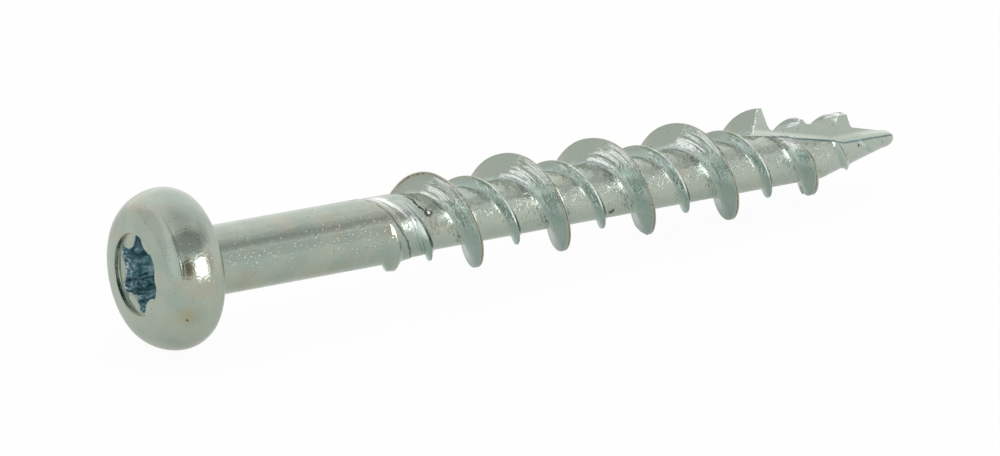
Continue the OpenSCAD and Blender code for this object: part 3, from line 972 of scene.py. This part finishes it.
metal = {"Base Color": colour, "Metallic": 1.0, "Roughness": rough, "Normal": bumped}
coat = add(tree, "ShaderNodeBsdfPrincipled", metal)
add(tree, "ShaderNodeOutputMaterial", {"Surface": coat}, out=None)
screw.data.materials.clear()
screw.data.materials.append(zinc)
print("nodes in the whole coat", len(tree.nodes))

# %% [markdown]
# The screw was photographed on white in soft light that comes from all around. The floor and the
# backdrop are plain white. The camera sees them as white, with a faint shadow left under the screw.

# %% Floor
bpy.ops.object.select_all(action="DESELECT")
bpy.ops.mesh.primitive_plane_add(size=4)
floor = start_object("floor")
paper, tree = new_material("white_paper")
rays = add(tree, "ShaderNodeLightPath").node
white = add(tree, "ShaderNodeEmission", {"Color": (1, 1, 1, 1), "Strength": 1.0})
pale = add(tree, "ShaderNodeEmission", {"Color": "#f6fbf6", "Strength": 1.0})
sheet = add(tree, "ShaderNodeBsdfDiffuse", {"Color": "#fafafa"})
shown = math_of(tree, "MULTIPLY", rays.outputs["Is Camera Ray"], 0.95)
mirrored = math_of(tree, "MULTIPLY", rays.outputs["Is Glossy Ray"], 0.45)
surface = add(tree, "ShaderNodeMixShader", {0: shown, 1: sheet, 2: white})
surface = add(tree, "ShaderNodeMixShader", {0: mirrored, 1: surface, 2: pale})
add(tree, "ShaderNodeOutputMaterial", {"Surface": surface}, out=None)
floor.data.materials.append(paper)
print("floor", tuple(floor.dimensions))

# %% [markdown]
# Metal shows its surroundings, so these matter as much as its colour. The room is evenly pale. It is
# darker overhead in front, where the lamp's stand and the ceiling are, and around the lens itself.

# %% Room
world = bpy.data.worlds.new("studio")
bpy.context.scene.world = world
world.use_nodes = True
tree = world.node_tree
tree.nodes.clear()
way = add(tree, "ShaderNodeTexCoord", out="Generated")


def toward(azimuth, elevation):
    """Direction from an azimuth (0 toward the front, 90 toward +X) and an elevation in degrees."""
    a, e = math.radians(azimuth), math.radians(elevation)
    return Vector((math.sin(a) * math.cos(e), -math.cos(a) * math.cos(e), math.sin(e)))


def patch(azimuth, elevation, full, gone):
    """A round patch of the room: 1 up to full degrees from its middle and 0 from gone degrees on."""
    near = vector_of(tree, "DOT_PRODUCT", way, toward(azimuth, elevation), out="Value")
    return ramp_of(tree, near, math.cos(math.radians(gone)), math.cos(math.radians(full)))


def times(level, spot, share):
    """The level where spot is 0, and share times the level where it is 1."""
    return math_of(tree, "MULTIPLY", level, more(1.0, spot, share - 1))


# Each row is a patch and the share of the room's light that comes from it.
PATCHES = [
    (-20, 80, 8, 34, 0.75),
    (40, 47, 11, 15, 0.70),
    (66, 44, 15, 17.5, 0.76),
    (-29, 17, 9, 15, 0.28),
    (34, 14, 15, 17, 0.80),
    (-125, 22, 24, 32, 0.82),
    (-76, 12, 16, 24, 1.12),
    (155, 25, 20, 50, 1.18),
]
level = times(1.0, most(patch(-10, 54, 14, 22), patch(10, 51, 13, 19), patch(-40, 48, 12, 19)), 0.5)
for *spot, share in PATCHES:
    level = times(level, patch(*spot), share)
room = mix_colours(tree, patch(-165, 10, 8, 22), "#ffffff", "#fff4f2")
room = mix_colours(tree, patch(-29, 17, 9, 18), room, "#ffeedd")
is_seen = add(tree, "ShaderNodeLightPath", out="Is Camera Ray")
strength = add(tree, "ShaderNodeMix", {0: is_seen, 2: level, 3: 1.0}, data_type="FLOAT")
glow = add(tree, "ShaderNodeBackground", {"Color": room, "Strength": strength})
add(tree, "ShaderNodeOutputWorld", {"Surface": glow}, out=None)
print("nodes in the room", len(tree.nodes))

# %% [markdown]
# One large softbox stands in front, a little above the screw. It gives the broad highlight along the
# shank and lights the fronts of the ridges, which the coat also carries as painted highlights.

# %% Softbox
KEY_FAR, KEY_WIDE, KEY_TALL, KEY_LEVEL = 0.6, 0.31, 0.26, 2.8
toward_key = toward(5, 16)
bpy.ops.object.select_all(action="DESELECT")
bpy.ops.object.light_add(type="AREA", location=toward_key * KEY_FAR)
key = start_object("softbox")
key.data.shape = "RECTANGLE"
key.data.size = KEY_WIDE
key.data.size_y = KEY_TALL
key.data.energy = KEY_LEVEL * math.pi * KEY_WIDE * KEY_TALL
key.rotation_euler = toward_key.to_track_quat("Z", "Y").to_euler()
print("softbox at", tuple(key.location), "watts", key.data.energy)

# %% [markdown]
# The camera was fitted to points measured in the photograph: the crests of the thread, the edges of
# the shank and the outline of the head. It is a long lens, so the screw hardly narrows with distance.

# %% Camera
bpy.ops.object.select_all(action="DESELECT")
eye = Vector((-0.212791, -0.318323, 0.143604))
looking = Vector((0.517067, 0.783190, -0.345341))
bpy.ops.object.camera_add(location=eye, rotation=looking.to_track_quat("-Z", "Y").to_euler())
camera = start_object("camera")
camera.data.lens = 196.709
camera.data.sensor_width = 36
bpy.context.scene.camera = camera
bpy.context.scene.view_settings.view_transform = "Standard"
print("camera at", tuple(eye), "lens", camera.data.lens)

# %% [markdown]
# The last step brings the scene up to date.

# %% Update the scene
bpy.context.view_layer.update()
